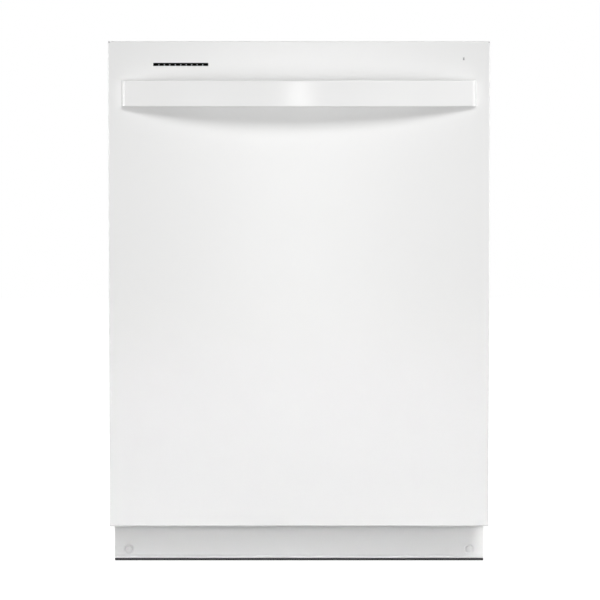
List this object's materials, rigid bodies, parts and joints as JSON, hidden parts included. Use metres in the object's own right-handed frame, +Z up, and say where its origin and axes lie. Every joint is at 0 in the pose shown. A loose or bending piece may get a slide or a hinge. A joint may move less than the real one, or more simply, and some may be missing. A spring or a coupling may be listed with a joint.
{
  "type": "built-in dishwasher",
  "caption": "White built-in dishwasher with a bowed bar handle, controls on the door's top edge, a drop-down door, pull-out racks, spray arms and a toe panel.",
  "frame": {"origin": "on the floor under the middle of the bounding box", "axes": "+X right seen from the front, +Y to the rear, +Z up; the door faces -Y"},
  "size_m": [0.606, 0.682, 0.8445],
  "materials": {
    "white_enamel": "glossy baked white enamel",
    "handle_white": "glossy white moulding",
    "tub_steel": "fine satin stainless",
    "zinc_steel": "zinc plated",
    "screw_zinc": "bright plated",
    "black_plastic": "fine matte",
    "base_plastic": "moulded, fine texture",
    "grey_plastic": "satin",
    "pale_plastic": "satin",
    "cap_blue": "glossy",
    "button_grey": "soft satin",
    "light_pipe": "clear moulding",
    "board_green": "solder mask",
    "felt": "pressed felt",
    "rubber_black": "matte",
    "rack_nylon": "nylon coated wire"
  },
  "bodies": {
    "cabinet": {"base_frame": "base_plastic", "tub_wrapper": "tub_steel", "tub_back": "tub_steel", "tub_bottom": "tub_steel", "tub_frame": "tub_steel", "tub_gasket": "rubber_black", "tub_blanket": "felt", "counter_brackets": "zinc_steel", "door_strike": "zinc_steel", "hinge_brackets": "zinc_steel", "door_springs": "zinc_steel", "access_panel": "white_enamel", "access_panel_screws": "screw_zinc", "toe_panel": "white_enamel", "toe_seal": "rubber_black", "sump": "grey_plastic", "wash_pump": "base_plastic", "drain_pump": "base_plastic", "heater": "tub_steel", "fine_filter": "tub_steel", "feed_tube": "grey_plastic", "inlet_valve": "pale_plastic", "junction_box": "zinc_steel", "rail_guides": "grey_plastic"},
    "door": {"door_outer_panel": "white_enamel", "handle": "handle_white", "handle_screws": "zinc_steel", "vent_louvre": "black_plastic", "vent_duct": "black_plastic", "status_light": "light_pipe", "door_liner": "tub_steel", "door_insulation": "felt", "console": "black_plastic", "control_board": "board_green", "door_latch": "black_plastic", "dispenser": "grey_plastic", "hinge_arms": "zinc_steel"},
    "dispenser_lid": {"dispenser_lid": "pale_plastic"},
    "rinse_aid_cap": {"rinse_aid_cap": "cap_blue"},
    "upper_rails": {"upper_rails": "tub_steel"},
    "upper_rack": {"upper_rack": "rack_nylon", "upper_manifold": "grey_plastic", "upper_rack_runners": "grey_plastic"},
    "upper_spray_arm": {"upper_spray_arm": "grey_plastic"},
    "lower_rack": {"lower_rack": "rack_nylon"},
    "silverware_basket": {"silverware_basket": "grey_plastic"},
    "lower_wheels_front": {"lower_wheels_front": "grey_plastic"},
    "lower_wheels_rear": {"lower_wheels_rear": "grey_plastic"},
    "lower_spray_arm": {"lower_spray_arm": "grey_plastic"},
    "overfill_float": {"overfill_float": "pale_plastic"},
    "filter_cup": {"filter_cup": "grey_plastic"},
    "front_foot_left": {"front_foot_left": "zinc_steel"},
    "front_foot_right": {"front_foot_right": "zinc_steel"},
    "rear_rollers": {"rear_rollers": "black_plastic"},
    "button_1": {"button_1": "button_grey"},
    "button_2": {"button_2": "button_grey"},
    "button_3": {"button_3": "button_grey"},
    "button_4": {"button_4": "button_grey"},
    "button_5": {"button_5": "button_grey"},
    "button_6": {"button_6": "button_grey"}
  },
  "joints": [
    {"name": "door_hinge", "type": "hinge", "parent": "cabinet", "child": "door", "pos_m": [0, -0.241, 0.125], "axis": [1, 0, 0], "range_deg": [0, 90], "stiffness_Nm_per_rad": 15, "springref_deg": -8.59, "deforming": ["door_springs"]},
    {"name": "upper_rails_slide", "type": "slide", "parent": "cabinet", "child": "upper_rails", "axis": [0, -1, 0], "range_m": [0, 0.2]},
    {"name": "upper_rack_slide", "type": "slide", "parent": "upper_rails", "child": "upper_rack", "axis": [0, -1, 0], "range_m": [0, 0.2]},
    {"name": "upper_arm_spin", "type": "hinge", "parent": "upper_rack", "child": "upper_spray_arm", "pos_m": [0, 0.05, 0.48], "axis": [0, 0, 1], "continuous": true},
    {"name": "lower_rack_slide", "type": "slide", "parent": "cabinet", "child": "lower_rack", "axis": [0, -1, 0], "range_m": [0, 0.16]},
    {"name": "lower_front_wheels_spin", "type": "hinge", "parent": "lower_rack", "child": "lower_wheels_front", "pos_m": [0, -0.086, 0.1683], "axis": [1, 0, 0], "continuous": true},
    {"name": "lower_rear_wheels_spin", "type": "hinge", "parent": "lower_rack", "child": "lower_wheels_rear", "pos_m": [0, 0.234, 0.1683], "axis": [1, 0, 0], "continuous": true},
    {"name": "silverware_basket_lift", "type": "slide", "parent": "lower_rack", "child": "silverware_basket", "axis": [0, 0, 1], "range_m": [0, 0.1]},
    {"name": "lower_arm_spin", "type": "hinge", "parent": "cabinet", "child": "lower_spray_arm", "pos_m": [0, 0.05, 0.16], "axis": [0, 0, 1], "continuous": true},
    {"name": "float_lift", "type": "slide", "parent": "cabinet", "child": "overfill_float", "axis": [0, 0, 1], "range_m": [0, 0.012]},
    {"name": "filter_cup_turn", "type": "hinge", "parent": "cabinet", "child": "filter_cup", "pos_m": [0.04278, 0.00722, 0.1], "axis": [0, 0, 1], "range_deg": [0, 90]},
    {"name": "foot_left_thread", "type": "slide", "parent": "cabinet", "child": "front_foot_left", "axis": [0, 0, -1], "range_m": [0, 0.025]},
    {"name": "foot_right_thread", "type": "slide", "parent": "cabinet", "child": "front_foot_right", "axis": [0, 0, -1], "range_m": [0, 0.025]},
    {"name": "rear_rollers_spin", "type": "hinge", "parent": "cabinet", "child": "rear_rollers", "pos_m": [0, 0.305, 0.02], "axis": [1, 0, 0], "continuous": true},
    {"name": "dispenser_lid_slide", "type": "slide", "parent": "door", "child": "dispenser_lid", "axis": [1, 0, 0], "range_m": [0, 0.068]},
    {"name": "rinse_cap_turn", "type": "hinge", "parent": "door", "child": "rinse_aid_cap", "pos_m": [0.078, -0.225, 0.55], "axis": [0, 1, 0], "range_deg": [0, 90]},
    {"name": "button_1_press", "type": "slide", "parent": "door", "child": "button_1", "axis": [0, 0, -1], "range_m": [0, 0.0012], "stiffness_N_per_m": 500, "springref_m": -0.002},
    {"name": "button_2_press", "type": "slide", "parent": "door", "child": "button_2", "axis": [0, 0, -1], "range_m": [0, 0.0012], "stiffness_N_per_m": 500, "springref_m": -0.002},
    {"name": "button_3_press", "type": "slide", "parent": "door", "child": "button_3", "axis": [0, 0, -1], "range_m": [0, 0.0012], "stiffness_N_per_m": 500, "springref_m": -0.002},
    {"name": "button_4_press", "type": "slide", "parent": "door", "child": "button_4", "axis": [0, 0, -1], "range_m": [0, 0.0012], "stiffness_N_per_m": 500, "springref_m": -0.002},
    {"name": "button_5_press", "type": "slide", "parent": "door", "child": "button_5", "axis": [0, 0, -1], "range_m": [0, 0.0012], "stiffness_N_per_m": 500, "springref_m": -0.002},
    {"name": "button_6_press", "type": "slide", "parent": "door", "child": "button_6", "axis": [0, 0, -1], "range_m": [0, 0.0012], "stiffness_N_per_m": 500, "springref_m": -0.002}
  ],
  "couplings": [
    {"joint": "upper_rails_slide", "follows": "door_hinge", "m_per_rad": 0.1273},
    {"joint": "upper_rack_slide", "follows": "door_hinge", "m_per_rad": 0.1273},
    {"joint": "lower_rack_slide", "follows": "door_hinge", "m_per_rad": 0.1018},
    {"joint": "lower_front_wheels_spin", "follows": "door_hinge", "ratio": 5.6588},
    {"joint": "lower_rear_wheels_spin", "follows": "door_hinge", "ratio": 5.6588}
  ]
}
